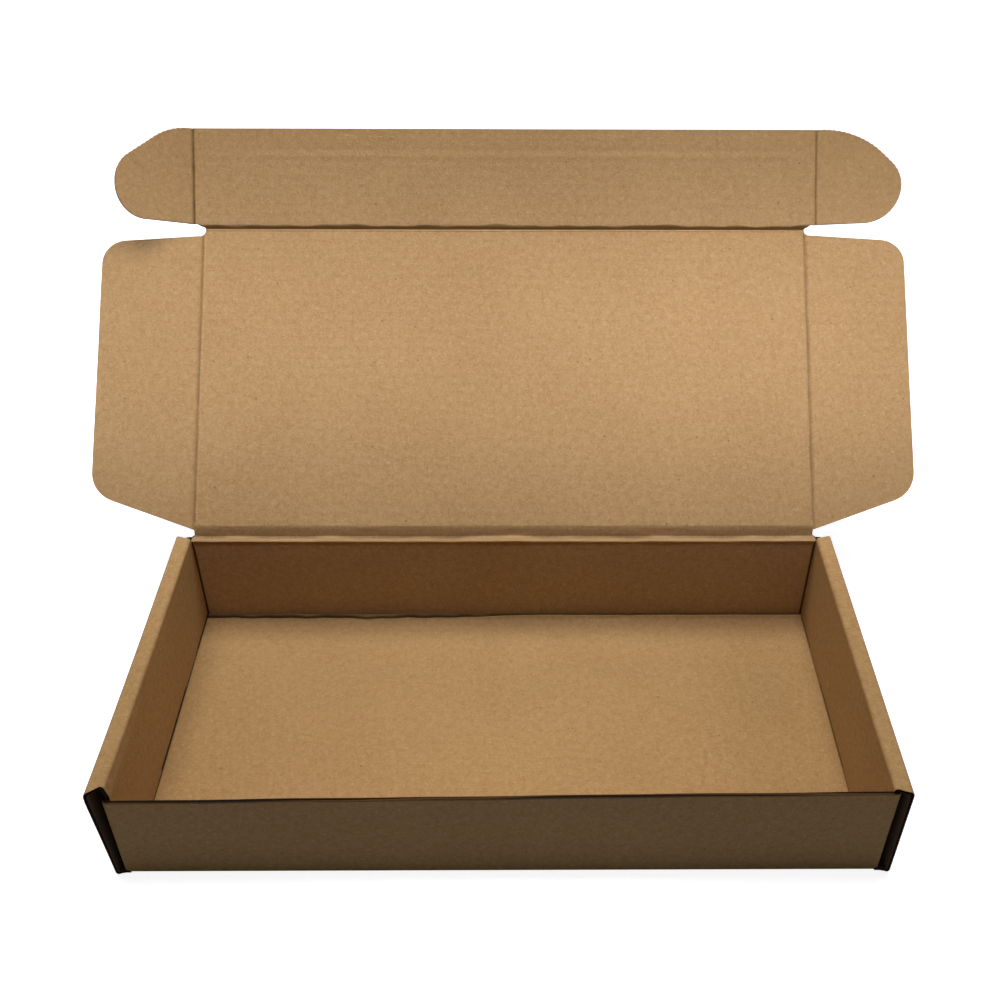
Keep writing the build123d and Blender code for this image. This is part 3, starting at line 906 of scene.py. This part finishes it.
def makeEar(label, sign, seed, bend, stretch, tip, crown, radii, fall, foldAt, foldWide, dark):
    centre = tuckOrigin + acrossX * sign * earFoldX
    bend = math.radians(bend)
    away = sign * acrossX * math.cos(bend) + tuckOut * math.sin(bend)
    out = -sign * acrossX * math.sin(bend) + tuckOut * math.cos(bend)
    corners = [(0, ear["foot"]), (ear["reach"], ear["heel"]), (ear["reach"], tip),
               (crown, tuck["height"] - fall), (0, tuck["height"])]
    rows, columns = ear["steps"]
    outline = resample(roundedLine(corners, radii, 1e6, 0.3)[1:-1], rows) * (stretch, 1)
    length = runLength(outline)[:, None]
    wavy = ear["scallop"] * ease(length, 20, 30) * np.sin(2 * np.pi * length / ear["scallopPitch"])
    outline = outline - leftOf(outline) * wavy
    foldV = np.linspace(ear["foot"] + 0.05, tuck["height"], rows)
    start = np.stack([np.full(rows, ear["strip"]), foldV], axis=1)
    share = np.linspace(0, 1, columns)[None, :]
    e = start[:, :1] + (outline[:, :1] - start[:, :1]) * share
    v = start[:, 1:] + (outline[:, 1:] - start[:, 1:]) * share
    w = ear["wave"] * uneven(e, v, seed, 60) * ease(e, ear["strip"], 9)
    place = flatPlace(sign * (earFoldX + e), sheetAtTuck + v)

    def onEar(e, v, w):
        return centre + e[..., None] * away + v[..., None] * tuckUp + w[..., None] * out

    inner, outer = onEar(e, v, w), onEar(e, v, w - sheet["thick"])
    board = boardMesh(label + "_ear_board", inner, outer, place, ("start", "end", "high"))
    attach(board, label + "_ear")
    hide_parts(label + "_locking_ear")
    e = spread(-tuck["earStrip"], ear["strip"], 0.1)[:, None]
    v = ear["foot"] + (tuck["height"] - ear["foot"]) * np.linspace(0, 1, 40)[None, :]
    w = creaseOffset(e, v, dict(ear["crease"], seed=seed + 10, at=foldAt))
    w = w * ease(e, -tuck["earStrip"], -1.3) * ease(e, ear["strip"], 0.5)
    # painted shade along the ear's fold line
    paintedShading = dark * bump(e, foldAt, foldWide) * (1 + 0.2 * waver(v, seed, (7, 17)))
    turn = ease(e, -0.4, 0.4)[..., None]
    faceOut = unit(tuckOut * (1 - turn) + out * turn)
    e, v, w = np.broadcast_arrays(e, v, w)
    base = centre + v[..., None] * tuckUp
    base = base + np.minimum(e, 0)[..., None] * sign * acrossX + np.maximum(e, 0)[..., None] * away
    inner, outer = base + w[..., None] * faceOut, base - sheet["thick"] * faceOut
    place = flatPlace(sign * (earFoldX + e), sheetAtTuck + v)
    crease = boardMesh(label + "_ear_crease", inner, outer, place, ("low", "high"), paintedShading)
    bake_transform(crease)


for label, side in ear["sides"].items():
    makeEar(label, **side)
print("locking ears made")


# Studio

studio = {
    "floorSize": 4000,
    "floor": "#c4c7d0",
    "glowNear": 0.9, "glowFrom": 130, "glowTo": 330,
    "lamps": {
        "overhead": {"place": (-60, 180, 880), "aim": (-60, 90, 0), "size": (600, 400),
                     "power": 6.7, "colour": (0.99, 1.0, 1.13)},
        "leftSide": {"place": (-350, 110, 300), "aim": (0, 60, 30), "size": (160, 100),
                     "power": 0.05, "colour": (0.97, 1.0, 1.2)},
        "rightSide": {"place": (350, 110, 300), "aim": (0, 60, 30), "size": (160, 100),
                      "power": 0.15, "colour": (0.97, 1.0, 1.2)},
        "lidStrip": {"place": (10, -235, 705), "aim": (10, 106, 90), "size": (440, 60),
                     "power": 0.092, "spread": 17, "colour": (0.95, 1.0, 1.45)},
        "lidRight": {"place": (130, -386, 586), "aim": (88, 107, 91), "size": (60, 40),
                     "power": 0.005, "spread": 15, "colour": (0.95, 1.0, 1.45)},
        "trayFloor": {"place": (0, -5, 900), "aim": (0, -10, 0), "size": (150, 60),
                      "power": 0.01, "spread": 12, "colour": (0.99, 1.0, 1.1)},
    },
    "fill": 0.002,
}


# a lamp's or the camera's matrix from its three directions and its place
def standing(right, up, back, place):
    return Matrix([[right[k], up[k], back[k], place[k] * mm] for k in range(3)] + [[0, 0, 0, 1]])


def areaLamp(name, lamp):
    data = bpy.data.lights.new(name, "AREA")
    data.shape = "RECTANGLE"
    data.size, data.size_y = (s * mm for s in lamp["size"])
    data.energy = lamp["power"]
    data.color = lamp["colour"]
    data.spread = math.radians(lamp.get("spread", 180))
    place, aim = np.array(lamp["place"], float), np.array(lamp["aim"], float)
    back = unit(place - aim)
    right = unit(np.cross((0, 1, 0) if abs(back[2]) > 0.9 else (0, 0, 1), back))
    up = np.cross(back, right)
    addObject(name, data).matrix_world = standing(right, up, back, place)


# 1 for what the camera sees, straight or by a reflection or through glass
def seenDirectly(material):
    path = addNode(material, "ShaderNodeLightPath")
    seen = calc(material, "MAXIMUM", links={0: (path, "Is Camera Ray"), 1: (path, "Is Glossy Ray")})
    return calc(material, "MAXIMUM", links={0: (seen, "Value"), 1: (path, "Is Transmission Ray")})


def makeFloorPlane():
    reach = studio["floorSize"] / 2 * mm
    mesh = bpy.data.meshes.new("studio_floor")
    corners = [(-reach, -reach, 0), (reach, -reach, 0), (reach, reach, 0), (-reach, reach, 0)]
    mesh.from_pydata(corners, [], [(0, 1, 2, 3)])
    floor = addObject("studio_floor", mesh)
    material = newMaterial("paleFloor")
    seen = seenDirectly(material)
    # the glow rises to white away from the box, so that only the box's own shadow shows
    place = addNode(material, "ShaderNodeTexCoord")
    away = addNode(material, "ShaderNodeVectorMath", {"operation": "LENGTH"}, links={0: (place, "Object")})
    level = addNode(material, "ShaderNodeMapRange", {"interpolation_type": "SMOOTHSTEP"}, {
        "From Min": studio["glowFrom"] * mm, "From Max": studio["glowTo"] * mm,
        "To Min": studio["glowNear"], "To Max": 1.0,
    }, {"Value": (away, "Value")})
    glow = addNode(material, "ShaderNodeEmission", values={"Color": (1, 1, 1, 1)},
                   links={"Strength": (level, "Result")})
    pale = addNode(material, "ShaderNodeBsdfDiffuse", values={"Color": linear(studio["floor"])})
    shown = addNode(material, "ShaderNodeAddShader", links={0: (glow, "Emission"), 1: (pale, "BSDF")})
    mixed = addNode(material, "ShaderNodeMixShader",
                    links={0: (seen, "Value"), 1: (pale, "BSDF"), 2: (shown, "Shader")})
    addNode(material, "ShaderNodeOutputMaterial", links={"Surface": (mixed, "Shader")})
    mesh.materials.append(material)


def makeWorld():
    world = bpy.data.worlds.new("studio")
    world.use_nodes = True
    world.node_tree.nodes.clear()
    seen = seenDirectly(world)
    dim = addNode(world, "ShaderNodeBackground", values={"Color": (1, 1, 1, 1), "Strength": studio["fill"]})
    white = addNode(world, "ShaderNodeBackground", values={"Color": (1, 1, 1, 1), "Strength": 1.0})
    mixed = addNode(world, "ShaderNodeMixShader",
                    links={0: (seen, "Value"), 1: (dim, "Background"), 2: (white, "Background")})
    addNode(world, "ShaderNodeOutputWorld", links={"Surface": (mixed, "Shader")})
    bpy.context.scene.world = world


makeFloorPlane()
makeWorld()
for name, lamp in studio["lamps"].items():
    areaLamp(name, lamp)
print("studio made")


# Camera, from the photograph's perspective on a 1000 x 1000 image

camera = {
    "imagePx": 1000, "focalPx": 1176.8, "centrePx": (526.5, 530.1), "place": (3.9, -274.0, 312.9),
    "yaw": 0.72, "pitch": 39.15, "roll": -0.42, "sensor": 36.0,
}


def makeCamera():
    data = bpy.data.cameras.new("photo_camera")
    data.sensor_width = camera["sensor"]
    data.lens = camera["focalPx"] * camera["sensor"] / camera["imagePx"]
    data.shift_x = 0.5 - camera["centrePx"][0] / camera["imagePx"]
    data.shift_y = camera["centrePx"][1] / camera["imagePx"] - 0.5
    data.clip_start, data.clip_end = 0.01, 20
    yaw, pitch, roll = (math.radians(camera[k]) for k in ("yaw", "pitch", "roll"))
    ahead = np.array([math.sin(yaw) * math.cos(pitch), math.cos(yaw) * math.cos(pitch), -math.sin(pitch)])
    right = np.array([math.cos(yaw), -math.sin(yaw), 0])
    down = np.cross(ahead, right)
    right, down = (right * math.cos(roll) + down * math.sin(roll),
                   down * math.cos(roll) - right * math.sin(roll))
    cameraObject = addObject("photo_camera", data)
    cameraObject.matrix_world = standing(right, -down, -ahead, np.array(camera["place"]))
    bpy.context.scene.camera = cameraObject


makeCamera()
bpy.context.scene.view_settings.view_transform = "Standard"
print("camera made")
